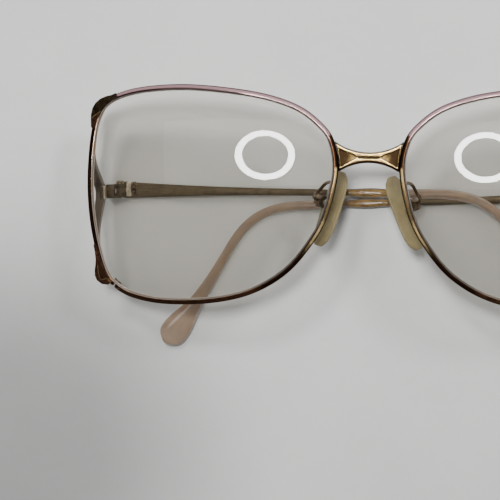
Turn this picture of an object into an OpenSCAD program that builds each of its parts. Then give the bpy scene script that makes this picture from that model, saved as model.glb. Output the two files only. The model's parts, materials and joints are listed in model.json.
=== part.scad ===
/* [Lenses] */
// Boxed width of one lens
lens_w = 57.6; // [54:0.1:60]
// Boxed height of one lens
lens_h = 50.4; // [47:0.1:53]
// Distance between the two lenses at the nose
lens_gap = 15.8; // [14:0.1:18]
// Radius of the curved face that lens and eyewire follow
base_r = 84.5; // [80:0.5:120]
// Thickness of the lens
lens_t = 1.6; // [1.4:0.1:2]
// Angle by which each lens is turned back at the temple
wrap = 3.2; // [2:0.1:5]
// Height of the bevel ground on the lens edge
bevel_h = 0.42; // [0.35:0.01:0.5]

/* [Eyewire] */
// Width of the wire, seen from the front
wire_w = 1.25; // [1.1:0.05:1.6]
// Depth of the wire from front to back
wire_d = 1.7; // [1.5:0.05:2.2]
// Width of the saw cut where the wire is closed
split_gap = 0.12; // [0.1:0.01:0.3]
// Width of the enamel on the brow
enamel_w = 0.8; // [0.5:0.05:0.9]
// Thickness of the enamel
enamel_t = 0.13; // [0.08:0.01:0.2]

/* [Bridge] */
// Height of the bridge at its waist
bridge_h = 2.3; // [1.8:0.1:3.2]
// Height of the top of the waist over the lens centre line
bridge_up = 10.8; // [9:0.1:13]
// Depth of the bridge casting
bridge_d = 1.9; // [1.5:0.1:2.6]
// Radius of the upper arch
arch_top_r = 13.4; // [12.5:0.1:16]
// Radius of the lower arch
arch_low_r = 12.2; // [11:0.1:15]
// Width of the raised bars round the panels
bar_w = 0.75; // [0.5:0.05:1]
// Depth of the sunk panels
panel_d = 0.45; // [0.2:0.05:0.8]
// Slant of the bridge's lower front edge
bridge_slant = 0.45; // [0.2:0.05:0.5]
// Length of the slot in the waist
slot_l = 4.9; // [3:0.1:6]

/* [Yokes] */
// Thickness of the yoke arms
arm_t = 1.3; // [1:0.05:1.6]
// Width of the yoke arms, from front to back
arm_w = 2.5; // [2:0.1:3]
// Reach of the upper corner lug outside the wire
lug_top_w = 1.55; // [0.8:0.05:2]
// Reach of the lower corner lug outside the wire
lug_low_w = 2.8; // [1.8:0.1:3]
// Thickness of the lugs' lip over the front of the wire
lip_t = 0.2; // [0.1:0.05:0.3]
// Thickness of the end piece that meets the temple
end_t = 1.4; // [1.2:0.1:2]
// Thickness of the boss on the end piece that carries the hinge
boss_t = 0.9; // [0.6:0.1:1.2]

/* [Hinges] */
// Distance of the hinge axis inside the lens's outer edge
hinge_in = 4.8; // [4:0.1:5.2]
// Height of the hinge against the lens centre line
hinge_y = -0.7; // [-2:0.1:0]
// Depth of the hinge axis behind the lens's outer edge
hinge_deep = 10.5; // [10:0.1:11.5]
// Height of the stacked knuckles
hinge_h = 3.3; // [3:0.1:4.2]
// Radius of the knuckles
knuckle_r = 1.05; // [0.95:0.05:1.15]
// Radius of the hinge screw's shank
screw_r = 0.5; // [0.4:0.05:0.6]
// Distance from the hinge axis to the inner face of the temple
leaf_h = 3.8; // [3.7:0.05:4.2]
// Distance from the joint face to the hinge axis
joint_back = 1.2; // [1.15:0.05:1.4]

/* [Temples] */
// Length of a temple along its curve
temple_l = 131; // [125:1:140]
// Height of the blade at the hinge
blade_h = 4.3; // [4:0.1:5]
// Height of the blade where it enters the tip
tail_h = 1.75; // [1.5:0.05:2]
// Thickness of the blade at the hinge
blade_t = 1.3; // [1.1:0.05:1.6]
// Length from the butt to the start of the bend
bend_l = 77; // [70:0.5:82]
// Angle of the tip below the blade at its steepest
tip_angle = 58; // [45:1:65]
// Inward reach of the tip's end
tip_in = 1.2; // [0.5:0.1:2]

/* [Tips] */
// Length of blade that stays bare before the tip
bare_l = 55; // [50:0.5:60]
// Diameter of the plastic tip's tube
tip_d = 2.4; // [2.1:0.05:2.8]
// Width of the paddle at the end of the tip
paddle_w = 7.4; // [4.5:0.1:7.6]
// Thickness of the paddle
paddle_t = 2.4; // [2:0.1:2.8]

/* [Nose pads] */
// Length of a nose pad
pad_l = 18.5; // [15:0.5:19]
// Width of a nose pad
pad_w = 8.8; // [7:0.2:10]
// Thickness of a nose pad
pad_t = 2; // [1.6:0.1:2.6]
// Angle of the pad's width against straight back
pad_splay = 31; // [20:1:38]
// Angle of the pad's length against upright
pad_slant = 20; // [10:1:25]
// Radius of the pad arm's wire
pad_arm_r = 0.45; // [0.35:0.05:0.55]
// Radius of the pad screw's shank
pad_screw_r = 0.35; // [0.3:0.05:0.45]

/* [Folding] */
// Lift of the left temple's far end towards the lenses, in degrees
lift_left = 1.5; // [1:0.1:2]
// Lift of the right temple's far end towards the lenses, in degrees
lift_right = -0.8; // [-1.2:0.1:-0.5]
// Slope of the left blade away from its hinge, in degrees
drop_left = -0.3; // [-1:0.1:1]
// Slope of the right blade away from its hinge, in degrees
drop_right = 2.7; // [2:0.1:3.5]

/* [Hidden] */

// Sides: the left one is the viewer's left, and the right one is its mirror image
LEFT = 0;
RIGHT = 1;
fold_lift = [lift_left, lift_right];
blade_drop = [drop_left, drop_right];
// Centre of each nose pad: out from the middle, up, and back
pad_at = [[lens_gap / 2 + 1, -3.8, -8.4], [lens_gap / 2 + 0.5, -4.6, -8.4]];
// The right pad leans a little more, as worn frames do
pad_lean = [pad_slant, pad_slant + 5.5];

// Colours
gold = [0.83, 0.68, 0.42];
bronze = [0.33, 0.20, 0.15];
rose = [0.78, 0.62, 0.64];
plastic = [0.80, 0.66, 0.55];
silicone = [0.72, 0.69, 0.50];
clear = [0.85, 0.90, 0.90, 0.35];
steel = [0.62, 0.56, 0.50];

// Clearances
seam = 0.02;
run = 0.03;

// Lens outline in boxed units: temple side and brow are positive
outline_knots = [
    [-1, 0.245], [-0.966, 0.522], [-0.87, 0.675], [-0.7, 0.82], [-0.44, 0.922], [-0.12, 0.978],
    [0.2, 1], [0.5, 0.976], [0.72, 0.92], [0.87, 0.825], [0.945, 0.66], [0.982, 0.4],
    [1, 0.04], [0.982, -0.32], [0.935, -0.62], [0.885, -0.79], [0.8, -0.895], [0.66, -0.965],
    [0.4, -1], [0, -0.965], [-0.33, -0.865], [-0.6, -0.675], [-0.79, -0.42], [-0.92, -0.15]];
knot_steps = 4;
edge_n = len(outline_knots) * knot_steps;

// Places along the outline, as steps from its first knot
enamel_from = 5;
enamel_to = 33;
lug_top_from = 33;
lug_top_to = 41;
lug_low_from = 54;
lug_low_to = 62;
lug_top_span = 7.1;
lug_low_span = 8.3;
lug_top_skew = 1.05;
lug_low_skew = 1.9;
split_at = 63;

lens_x = lens_gap / 2 + lens_w / 2;
crown_z = 3.84;
base_c = [-lens_x + base_r * sin(wrap), 0, crown_z - base_r * cos(wrap)];
wire_in = 0.35;
wire_out = wire_w - wire_in;
wire_z = wire_d / 2;
wire_edge = 0.15;
groove_h = bevel_h - 0.02;

function unit(v) = v / norm(v);
function mix(a, b, t) = a + (b - a) * t;
function wave(s) = sin(180 * s);

// Smooth curve through p1 and p2, with p0 and p3 on either side
function spline(p0, p1, p2, p3, t) =
    0.5 * (2 * p1 + (p2 - p0) * t + (2 * p0 - 5 * p1 + 4 * p2 - p3) * t * t
        + (3 * p1 - p0 - 3 * p2 + p3) * t * t * t);
function closed_curve(k, n) = [
    for (i = [0 : len(k) - 1], j = [0 : n - 1])
        spline(k[(i + len(k) - 1) % len(k)], k[i], k[(i + 1) % len(k)], k[(i + 2) % len(k)], j / n)];
function open_curve(k, n) = [
    for (i = [0 : len(k) - 2], j = [0 : (i == len(k) - 2 ? n : n - 1)])
        spline(k[max(i - 1, 0)], k[i], k[i + 1], k[min(i + 2, len(k) - 1)], j / n)];

unit_outline = closed_curve(outline_knots, knot_steps);
function outline(i, off = 0) =
    [-lens_x - unit_outline[i].x * (lens_w / 2 + off), unit_outline[i].y * (lens_h / 2 + off)];
function base_z(p, r) =
    base_c.z + sqrt(r * r - pow(p.x - base_c.x, 2) - pow(p.y - base_c.y, 2));
function on_base(p, r = base_r) = [p.x, p.y, base_z(p, r)];

// Edge of the lens, with the directions outwards and forwards at each step
edge = [for (i = [0 : edge_n - 1]) on_base(outline(i))];
edge_along = [for (i = [0 : edge_n - 1]) unit(edge[(i + 1) % edge_n] - edge[(i + edge_n - 1) % edge_n])];
edge_front = [for (p = edge) unit(p - base_c)];
edge_out = [for (i = [0 : edge_n - 1]) unit(cross(edge_along[i], edge_front[i]))];
function edge_point(i, out, front, along = 0) =
    edge[i % edge_n] + out * edge_out[i % edge_n] + front * edge_front[i % edge_n]
        + along * edge_along[i % edge_n];

// Solid through a row of rings, closed by its first and last ring;
// looked at from the first ring's outside, the rings run clockwise
module loft(rings) {
    n = len(rings[0]);
    last = (len(rings) - 1) * n;
    polyhedron(
        points = [for (r = rings, p = r) p],
        faces = concat(
            [[for (j = [0 : n - 1]) j]],
            [for (k = [0 : len(rings) - 2], j = [0 : n - 1])
                [k * n + j, (k + 1) * n + j, (k + 1) * n + (j + 1) % n]],
            [for (k = [0 : len(rings) - 2], j = [0 : n - 1])
                [k * n + j, (k + 1) * n + (j + 1) % n, k * n + (j + 1) % n]],
            [[for (j = [n - 1 : -1 : 0]) last + j]]),
        convexity = 6);
}

// Section of a bar: a rectangle with cut corners, anticlockwise
function bar_section(w, h, c) = [
    [w / 2, -h / 2 + c], [w / 2, h / 2 - c], [w / 2 - c, h / 2], [-w / 2 + c, h / 2],
    [-w / 2, h / 2 - c], [-w / 2, -h / 2 + c], [-w / 2 + c, -h / 2], [w / 2 - c, -h / 2]];
function oval_section(w, h, n) = [for (j = [0 : n - 1]) [w / 2 * cos(360 * j / n), h / 2 * sin(360 * j / n)]];
function ring_at(p, a, b, section) = [for (q = section) p + q.x * a + q.y * b];

module on_side(side) {
    translate([0, seat_y, seat_z])
        mirror([side, 0, 0])
            children();
}

/* Eyewires, lenses and enamel */

wire_section = [
    [wire_out, wire_edge - wire_z], [wire_out, wire_z - wire_edge], [wire_out - wire_edge, wire_z],
    [wire_edge - wire_in, wire_z], [-wire_in, wire_z - wire_edge], [-wire_in, groove_h],
    [0.06, 0],
    [-wire_in, -groove_h], [-wire_in, wire_edge - wire_z], [wire_edge - wire_in, -wire_z],
    [wire_out - wire_edge, -wire_z]];
function wire_ring(i, along = 0) = [for (q = wire_section) edge_point(i, q.x, q.y, along)];

module rim(side) {
    color(bronze) on_side(side) loft(concat(
        [wire_ring(split_at, -split_gap / 2)],
        [for (i = [split_at + edge_n - 1 : -1 : split_at + 1]) wire_ring(i)],
        [wire_ring(split_at, split_gap / 2)]));
}

lens_rings = [0.55, 0.03];
function lens_rim(front) = [for (i = [0 : edge_n - 1]) edge_point(i, -bevel_h - 0.03, front)];
function lens_face(share, front) = [for (e = lens_rim(front))
    on_base([mix(-lens_x, e.x, share), share * e.y], base_r + front)];
function lens_shoulder(front) = [for (i = [0 : edge_n - 1]) edge_point(i, -bevel_h, front)];

module lens(side) {
    half = lens_t / 2;
    color(clear) on_side(side) loft(concat(
        [for (k = [len(lens_rings) - 1 : -1 : 0]) lens_face(lens_rings[k], -half)],
        [lens_rim(-half), lens_shoulder(0.04 - bevel_h), edge, lens_shoulder(bevel_h - 0.04), lens_rim(half)],
        [for (s = lens_rings) lens_face(s, half)]));
}

enamel_mid = (wire_out - wire_in) / 2;
enamel_section = [
    [enamel_w / 2, 0], [enamel_w / 2 - 0.1, enamel_t], [0.1 - enamel_w / 2, enamel_t], [-enamel_w / 2, 0]];
module enamel(side) {
    color(rose) on_side(side) loft([for (i = [enamel_to : -1 : enamel_from])
        [for (q = enamel_section) edge_point(i, enamel_mid + q.x, wire_z + 0.01 + q.y)]]);
}

/* Bridge */

bridge_back = -0.7;
bridge_front = bridge_back + bridge_d;
bridge_low = bridge_up - bridge_h;
side_bar_w = 0.5;
top_slant = 0.15;
// Depth of the foot that meets the eyewires, and how far they lean over the bridge in front of it
bridge_foot = 0.5;
wire_lean = 0.23;
// Height of the slot, and the point where each panel starts
slot_y = (bridge_up + bridge_low) / 2 + 0.15;
panel_x = 2.6;
module lens_blank(off) {
    polygon([for (i = [0 : edge_n - 1]) outline(i, off)]);
}
module both_sides() {
    children();
    mirror([1, 0, 0]) children();
}
// The casting's face between two arches, with its bars drawn in by an amount
module bridge_face(in = 0, side_in = 0) {
    arch_n = 160;
    difference() {
        translate([-lens_gap, bridge_low - arch_low_r / 2])
            square([2 * lens_gap, arch_low_r]);
        translate([0, bridge_up + arch_top_r]) circle(r = arch_top_r + in, $fn = arch_n);
        translate([0, bridge_low - arch_low_r]) circle(r = arch_low_r + in, $fn = arch_n);
        both_sides() lens_blank(wire_out + seam + side_in);
    }
}
module bridge_blank(side_in) {
    top = bridge_up + 3.4;
    low = bridge_low - 2.6;
    intersection() {
        bridge_face(0, side_in);
        translate([-lens_gap, low]) square([2 * lens_gap, top - low]);
    }
}
// Cone that slants the front edge of one arch
module front_slant(y, arch_r, slant) {
    translate([0, y, bridge_front - slant])
        cylinder(h = 2 * slant, r1 = arch_r, r2 = arch_r + 2 * slant, $fn = 160);
}
module bridge() {
    color(gold) on_side(LEFT) difference() {
        union() {
            translate([0, 0, bridge_back]) linear_extrude(bridge_foot) bridge_blank(0);
            translate([0, 0, bridge_back + bridge_foot])
                linear_extrude(bridge_d - bridge_foot) bridge_blank(wire_lean);
        }
        translate([0, 0, bridge_front - panel_d]) linear_extrude(bridge_d) intersection() {
            bridge_face(bar_w, side_bar_w);
            both_sides() polygon([
                [-panel_x, slot_y], [-lens_gap, slot_y + 0.7 * (lens_gap - panel_x)],
                [-lens_gap, slot_y - 0.58 * (lens_gap - panel_x)]]);
        }
        front_slant(bridge_up + arch_top_r, arch_top_r, top_slant);
        front_slant(bridge_low - arch_low_r, arch_low_r, bridge_slant);
        translate([0, slot_y, bridge_front])
            cube([slot_l, 0.5, 2 * panel_d], center = true);
    }
}

/* Yokes */

temple_at = 48;
hinge_x = lens_x + lens_w / 2 - hinge_in;
hinge_back = hinge_deep - edge[temple_at].z;
end_in = hinge_x + leaf_h - 0.05;
end_out = end_in + end_t;
joint_z = -hinge_back + joint_back;
boss_h = hinge_h - 0.3;
boss_d = 3.2;
// One corner lug: it grows out of the wire's outer edge, and its lip laps over the wire's front
lip_in = 0.1 - wire_in;
function lug_ring(i, reach, lip, back) =
    let (a = wire_out + seam, b = a + reach, f = wire_z, c = min(0.3, reach / 3))
    [edge_point(i, b, -f - back + c), edge_point(i, b, f - c), edge_point(i, b - c, f + lip),
     edge_point(i, lip_in, f + lip), edge_point(i, lip_in, f + seam), edge_point(i, a, f + seam),
     edge_point(i, a, -f - back + 0.1), edge_point(i, a + c, -f - back), edge_point(i, b - c, -f - back)];
// It swells from one step of the outline over a span of steps, and its crest lies later the higher the skew
lug_back = 0.9;
module lug(from, to, start, span, reach, skew) {
    loft([for (i = [to : -1 : from])
        let (w = wave(pow(max(i - start, 0) / span, skew)))
        lug_ring(i, 0.12 + reach * w, mix(0.08, lip_t, w), lug_back * w)]);
}
arm_x = (end_in + end_out) / 2;
// Centre line of the yoke's arms, from the upper lug by the end piece to the lower lug
arm_meet = [-arm_x, hinge_y, joint_z + 1.7];
arm_sag = [0, 0, -0.4];
top_spread = [-0.7, 0, 0];
low_spread = [-0.35, 0, 0];
arm_top = [edge_point(39, 1.8, -1.7), edge_point(43, 1.9, -2.7)];
arm_low = [edge_point(55, 2.1, -2.5), edge_point(58, 2.3, -1.9)];
arm_knots = [
    arm_top[0], arm_top[1], mix(arm_top[1], arm_meet, 0.33) + top_spread,
    mix(arm_top[1], arm_meet, 0.67) + arm_sag + top_spread, arm_meet,
    mix(arm_low[0], arm_meet, 0.67) + arm_sag + low_spread, mix(arm_low[0], arm_meet, 0.33) + low_spread,
    arm_low[0], arm_low[1]];
module yoke_arms() {
    line = open_curve(arm_knots, 3);
    n = len(line) - 1;
    loft([for (i = [0 : n])
        let (t = unit(line[min(i + 1, n)] - line[max(i - 1, 0)]), s = wave(i / n), flare = boss_t * pow(s, 5))
        ring_at(line[i] + [flare / 2, 0, 0], unit(cross(t, [0, 0, 1])), unit(cross([1, 0, 0], t)),
            bar_section(mix(arm_t - 0.3, arm_t, s) + flare, mix(arm_w - 0.6, arm_w, s), 0.3))]);
}
// The end piece spreads from the arms and narrows to the joint face
module end_piece() {
    sizes = [[0, 0], [1.2, 0.9], [2, 2.5], [2.6, 3.9]];
    loft([for (z = sizes)
        ring_at([-arm_x, hinge_y + blade_y, joint_z + z[0]], [1, 0, 0], [0, 1, 0],
            bar_section(end_t, blade_h + z[1], 0.3))]);
}
// The boss stands inside the end piece, and the front hinge leaf is soldered to it
module hinge_boss() {
    translate([-end_in - 0.1, hinge_y - boss_h / 2, joint_z])
        cube([boss_t + 0.1, boss_h, boss_d]);
}
module yoke(side) {
    color(bronze) on_side(side) union() {
        lug(lug_top_from, lug_top_to, lug_top_from + 0.9, lug_top_span, lug_top_w, lug_top_skew);
        lug(lug_low_from, lug_low_to, lug_low_from, lug_low_span, lug_low_w, lug_low_skew);
        yoke_arms();
        end_piece();
        hinge_boss();
    }
}

/* Closing block and screw of the eyewire, behind the lower lug */

block_l = 0.95;
block_w = 1.25;
block_d = 1;
block_gap = 0.08;
block_screw_r = 0.3;
// Reach of the blocks inside the lens edge
block_in = 0.12;
// Turns x along the wire at the split and z out of its front
module at_split() {
    t = edge_along[split_at];
    f = edge_front[split_at];
    turn = atan2(t.y, t.x);
    translate(edge_point(split_at, block_w / 2 - block_in, -wire_z - block_gap - block_d / 2))
        rotate([-asin(f.y * cos(turn) - f.x * sin(turn)), -asin(t.z), turn])
            children();
}
module closing_block(side) {
    color(bronze) on_side(side) at_split() for (end = [-1, 1])
        difference() {
            translate([end * (split_gap + block_l) / 2, 0, 0])
                cube([block_l, block_w, block_d], center = true);
            rotate([0, 90, 0]) cylinder(h = 4 * block_l, r = block_screw_r + run, center = true, $fn = 24);
        }
}
module closing_screw(side) {
    reach = block_l + split_gap / 2;
    color(steel) on_side(side) at_split() rotate([0, 90, 0]) difference() {
        union() {
            translate([0, 0, -reach]) cylinder(h = 2 * reach, r = block_screw_r, $fn = 24);
            translate([0, 0, reach + seam]) cylinder(h = 0.4, r = block_d / 2 - 0.05, $fn = 32);
            translate([0, 0, reach - 0.1]) cylinder(h = 0.2, r = block_screw_r, $fn = 24);
        }
        translate([0, 0, reach + 0.4]) cube([2, 0.25, 0.4], center = true);
    }
}

/* Hinges: the axis runs up and down through the origin of at_hinge() */

knuckle_h = (hinge_h - 4 * run) / 3;
web_d = 1.3;
module at_hinge() {
    translate([-hinge_x, hinge_y, -hinge_back]) children();
}
module upright(h, r, y = 0, n = 40) {
    translate([0, y, 0]) rotate([90, 0, 0]) cylinder(h = h, r = r, center = true, $fn = n);
}
leaf_end = 0.9;
module hinge_front(side) {
    leaf_z = joint_back + 0.05;
    start = -leaf_h + 0.05 + boss_t + seam;
    color(bronze) on_side(side) at_hinge() difference() {
        union() {
            translate([start, -hinge_h / 2, leaf_z])
                cube([-leaf_end - start, hinge_h, web_d]);
            for (k = [-1, 1])
                translate([0, k * (hinge_h - knuckle_h) / 2, 0])
                    union() {
                        upright(knuckle_h, knuckle_r);
                        translate([0, knuckle_h / 2, 0]) rotate([90, 0, 0]) linear_extrude(knuckle_h)
                            polygon([
                                [-knuckle_r, 0], [-leaf_end - 1, leaf_z + 0.1], [-leaf_end - 1, leaf_z + 0.8],
                                [-leaf_end + 0.1, leaf_z + 0.8], [0, knuckle_r], [0, 0]]);
                    }
        }
        upright(2 * hinge_h, screw_r + run);
    }
}
module hinge_screw(side) {
    head_h = 0.6;
    color(gold) on_side(side) at_hinge() difference() {
        union() {
            upright(hinge_h + 0.5, screw_r, -0.05);
            upright(head_h, knuckle_r - 0.1, hinge_h / 2 + run + head_h / 2);
        }
        translate([0, hinge_h / 2 + run + head_h, 0]) cube([3, 0.5, 0.28], center = true);
    }
}
module folded(side) {
    translate([-hinge_x, hinge_y, -hinge_back]) rotate([0, -fold_lift[side], 0]) children();
}
module hinge_temple(side) {
    top = -knuckle_r + 0.15;
    foot = -leaf_h + seam;
    color(gold) on_side(side) folded(side) difference() {
        union() {
            upright(knuckle_h, knuckle_r);
            translate([0, knuckle_h / 2, 0]) rotate([90, 0, 0]) linear_extrude(knuckle_h)
                polygon([[0, knuckle_r], [1.4, 0.7], [1.4, foot], [-0.6, foot], [-0.8, -knuckle_r * 0.6]]);
            translate([0, hinge_h / 2, 0]) rotate([90, 0, 0]) linear_extrude(hinge_h)
                polygon([[-1, foot], [-1, foot + 0.5], [1.25, -2.4], [1.25, top], [1.9, top], [3.2, foot + 0.5], [3.2, foot]]);
        }
        upright(2 * hinge_h, screw_r + run);
    }
}

/* Temples and tips */

temple_steps = 104;
step_l = temple_l / temple_steps;
butt_s = -joint_back + 0.05;
blade_y = -0.6;
bend_run = 25.5;
tip_fall = 9.5;
// Heading of the temple in degrees, at a length from its butt
function heading(l, side) =
    let (s = (l - bend_l) / bend_run, tail = (l - bend_l - bend_run) / (temple_l - bend_l - bend_run))
    -blade_drop[side] * min(max((l - 4) / 4, 0), 1)
    - (s < 0 ? 0 : s < 1 ? tip_angle * (1 - cos(180 * s)) / 2 : tip_angle - tip_fall * tail);
// Inward reach towards the head, which starts with the bend
function inward(l) = l < bend_l ? 0 : tip_in * pow((l - bend_l) / (temple_l - bend_l), 1.6);
temple_mid = -leaf_h - blade_t / 2;
temple_line = [for (side = [LEFT, RIGHT])
    [for (i = 0, p = [butt_s, blade_y]; i <= temple_steps;
        h = heading((i + 0.5) * step_l, side), p = p + step_l * [cos(h), sin(h)], i = i + 1)
        [p.x, p.y, temple_mid + inward(i * step_l)]]];
function temple_ring(i, side, section) =
    let (
        line = temple_line[side],
        t = unit(line[min(i + 1, temple_steps)] - line[max(i - 1, 0)]),
        deep = [0, 0, 1],
        up = unit(cross(deep, t)))
    ring_at(line[i], up, unit(cross(t, up)), section);
function blade_size(l) =
    let (s = 1 - min(l / 41, 1))
    [mix(tail_h, blade_h, pow(s, 1.8)), mix(1.1, blade_t, s)];
core_d = 1;
bare_steps = floor(bare_l / step_l);
core_end = temple_steps - 10;
function blade_section(i) =
    let (into = min(max((i - bare_steps + 2) / 3, 0), 1), b = blade_size(i * step_l))
    let (w = mix(b[0], core_d, into), t = mix(b[1], core_d - 0.1, into))
    bar_section(w, t, mix(0.3, 0.35, into));
core_i = [for (i = [bare_steps + 1 : 5 : core_end]) i];
blade_i = concat([0, 2, 4, 7, 10, 14, 18, 22, 27, 33], [bare_steps - 2, bare_steps], core_i);

module temple(side) {
    color(gold) on_side(side) folded(side)
        loft([for (i = blade_i) temple_ring(i, side, blade_section(i))]);
}

// The tip's swelling, neck and tube start this far along it, and the paddle takes its last length
swell_l = 8;
neck_l = 13;
tube_l = 17;
paddle_l = 15.5;
paddle_end = 4.2;
// Width of the tip in its plane, and its thickness, at a length from the butt
function tip_size(l) =
    let (
        a = bare_l, swell = a + swell_l, neck = a + neck_l, tube = a + tube_l, flare = temple_l - paddle_l,
        widest = temple_l - paddle_end, slim = tip_d - 0.7, fat = tip_d + 0.15, end_d = tip_d + 1.1,
        w = l < swell ? mix(slim, fat, smooth((l - a) / (swell - a)))
            : l < neck ? mix(fat, slim, smooth((l - swell) / (neck - swell)))
            : l < tube ? mix(slim, tip_d, smooth((l - neck) / (tube - neck)))
            : l < flare ? mix(tip_d, end_d, pow((l - tube) / (flare - tube), 8))
            : l < widest ? mix(end_d, paddle_w, smooth((l - flare) / (widest - flare)))
            : paddle_w * sqrt(max(1 - pow((l - widest) / (temple_l - widest), 2.4), 0.03)),
        t = l < tube ? w
            : l < flare ? mix(tip_d, paddle_t, (l - tube) / (flare - tube))
            : l < widest ? paddle_t
            : paddle_t * sqrt(max(1 - pow((l - widest) / (temple_l - widest), 3), 0.08)))
    [w, t];
function smooth(s) = s * s * (3 - 2 * s);
tip_n = 12;
tip_first = bare_steps + 1;
function tip_section(i) = let (d = tip_size(i * step_l)) oval_section(d[0], d[1], tip_n);
tip_i = concat([for (i = [tip_first : 2 : temple_steps - 11]) i], [for (i = [temple_steps - 10 : temple_steps]) i]);
core_last = core_i[len(core_i) - 1];
bore_i = concat([core_last + 1], [for (k = [len(core_i) - 1 : -1 : 0]) core_i[k]]);

module tip(side) {
    bore = oval_section(core_d + 0.24, core_d + 0.14, tip_n);
    color(plastic) on_side(side) folded(side) loft(concat(
        [for (i = bore_i) temple_ring(i, side, bore)],
        [for (i = tip_i) temple_ring(i, side, tip_section(i))]));
}

/* Nose pads: in their own frame the nose is on +X, the brow on +Y and the lens on +Z */

pivot_out = pad_t / 2 + 2;
pivot_up = 1.1;
box_wall = 0.55;
lug_w = 1.5;
box_w = lug_w + 2 * (0.1 + box_wall);
box_l = 2.9;
box_back = 1.05;
function pad_turned(v, side) =
    let (a = pad_lean[side], q = [v.x * cos(a) + v.y * sin(a), v.y * cos(a) - v.x * sin(a), v.z])
    [q.x * cos(pad_splay) + q.z * sin(pad_splay), q.y, q.z * cos(pad_splay) - q.x * sin(pad_splay)];
function pad_centre(side) = [-pad_at[side].x, pad_at[side].y, pad_at[side].z];
module at_pad(side) {
    translate(pad_centre(side)) rotate([0, pad_splay, 0]) rotate([0, 0, -pad_lean[side]]) children();
}
module at_pivot(side) {
    at_pad(side) translate([-pivot_out, pivot_up, 0]) children();
}
pad_rings = 11;
module pad_body() {
    loft([for (k = [0 : pad_rings])
        let (
            s = wave(k / pad_rings - 0.5),
            round = sqrt(max(1 - pow(abs(s), 5), 0.08)),
            bow = -0.3 * s * s)
        [for (q = oval_section(pad_t * mix(0.7, 1, round), pad_w * round, 14)) [q.x + bow, pad_l * s / 2, -q.y]]]);
}
module nose_pad(side) {
    color(silicone) on_side(side) at_pad(side) difference() {
        union() {
            pad_body();
            translate([-pivot_out, pivot_up - 0.8, -lug_w / 2]) cube([pivot_out - 0.2, 1.6, lug_w]);
            translate([-pivot_out, pivot_up, 0]) cylinder(h = lug_w, r = 0.8, center = true, $fn = 32);
        }
        translate([-pivot_out, pivot_up, 0])
            cylinder(h = 2 * lug_w, r = pad_screw_r + run, center = true, $fn = 24);
    }
}
module pad_box(side) {
    round = box_back + box_wall;
    color(bronze) on_side(side) at_pivot(side) difference() {
        intersection() {
            cylinder(h = box_w, r = round, center = true, $fn = 48);
            translate([-round, -box_l / 2, -box_w / 2])
                cube([round + 0.75, box_l, box_w]);
        }
        translate([-box_back, -box_l, -lug_w / 2 - 0.1])
            cube([box_back + 3, 2 * box_l, lug_w + 0.2]);
        cylinder(h = 2 * box_w, r = pad_screw_r + run, center = true, $fn = 24);
    }
}
module pad_screw(side) {
    color(steel) on_side(side) at_pivot(side) difference() {
        union() {
            cylinder(h = box_w + 0.1, r = pad_screw_r, center = true, $fn = 24);
            translate([0, 0, box_w / 2 + seam]) cylinder(h = 0.4, r = 0.7, $fn = 32);
        }
        translate([0, 0, box_w / 2 + 0.4]) cube([2, 0.22, 0.3], center = true);
    }
}

arm_from = 95;
// Route of a pad arm, from the back of the wire round to the back of the box
function pad_arm_line(side) =
    let (
        a = edge_point(arm_from, 0.1, -wire_z - seam),
        b = pad_centre(side) + pad_turned([-pivot_out - box_back - box_wall - seam, pivot_up, 0], side),
        out = pad_turned([-1, 0, 0], side))
    [a, a + [-0.3, 0, -1], a + [-1.7, -0.5, -2.4], mix(a, b, 0.6) + 1.3 * out, b + 0.9 * out + [0, 0.5, 0], b];
module pad_arm(side) {
    line = open_curve(pad_arm_line(side), 3);
    n = len(line) - 1;
    color(bronze) on_side(side) loft([for (i = [0 : n])
        let (
            t = i == 0 ? -edge_front[arm_from] : i == n ? pad_turned([1, 0, 0], side) : unit(line[i + 1] - line[i - 1]),
            a = unit(cross([0.3, 1, 0.2], t)))
        ring_at(line[i], a, cross(t, a), oval_section(2 * pad_arm_r, 2 * pad_arm_r, 8))]);
}

/* Seat: the part rests on its folded temples, with the origin under the middle of its box */

function turned_down(p, side) =
    let (a = -fold_lift[side])
    [p.x * cos(a) + p.z * sin(a) - hinge_x, p.y + hinge_y, p.z * cos(a) - p.x * sin(a) - hinge_back];
tip_points = [for (side = [LEFT, RIGHT], i = tip_i, p = temple_ring(i, side, tip_section(i)))
    turned_down(p, side)];
blade_points = [for (side = [LEFT, RIGHT], i = blade_i, p = temple_ring(i, side, blade_section(i)))
    turned_down(p, side)];
brow_top = max([for (i = [0 : edge_n - 1]) edge_point(i, wire_out, 0).y]);
seat_z = -min([for (p = concat(tip_points, blade_points)) p.z]);
seat_y = -(brow_top + min([for (p = tip_points) p.y])) / 2;

rim(LEFT);  // rim_left
rim(RIGHT);  // rim_right
lens(LEFT);  // lens_left
lens(RIGHT);  // lens_right
enamel(LEFT);  // enamel_left
enamel(RIGHT);  // enamel_right
bridge();
yoke(LEFT);  // yoke_left
yoke(RIGHT);  // yoke_right
closing_block(LEFT);  // closing_block_left
closing_block(RIGHT);  // closing_block_right
closing_screw(LEFT);  // closing_screw_left
closing_screw(RIGHT);  // closing_screw_right
hinge_front(LEFT);  // hinge_front_left
hinge_front(RIGHT);  // hinge_front_right
hinge_screw(LEFT);  // hinge_screw_left
hinge_screw(RIGHT);  // hinge_screw_right
hinge_temple(LEFT);  // hinge_temple_left
hinge_temple(RIGHT);  // hinge_temple_right
temple(LEFT);  // temple_left
temple(RIGHT);  // temple_right
tip(LEFT);  // tip_left
tip(RIGHT);  // tip_right
pad_arm(LEFT);  // pad_arm_left
pad_arm(RIGHT);  // pad_arm_right
pad_box(LEFT);  // pad_box_left
pad_box(RIGHT);  // pad_box_right
pad_screw(LEFT);  // pad_screw_left
pad_screw(RIGHT);  // pad_screw_right
nose_pad(LEFT);  // nose_pad_left
nose_pad(RIGHT);  // nose_pad_right
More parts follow.
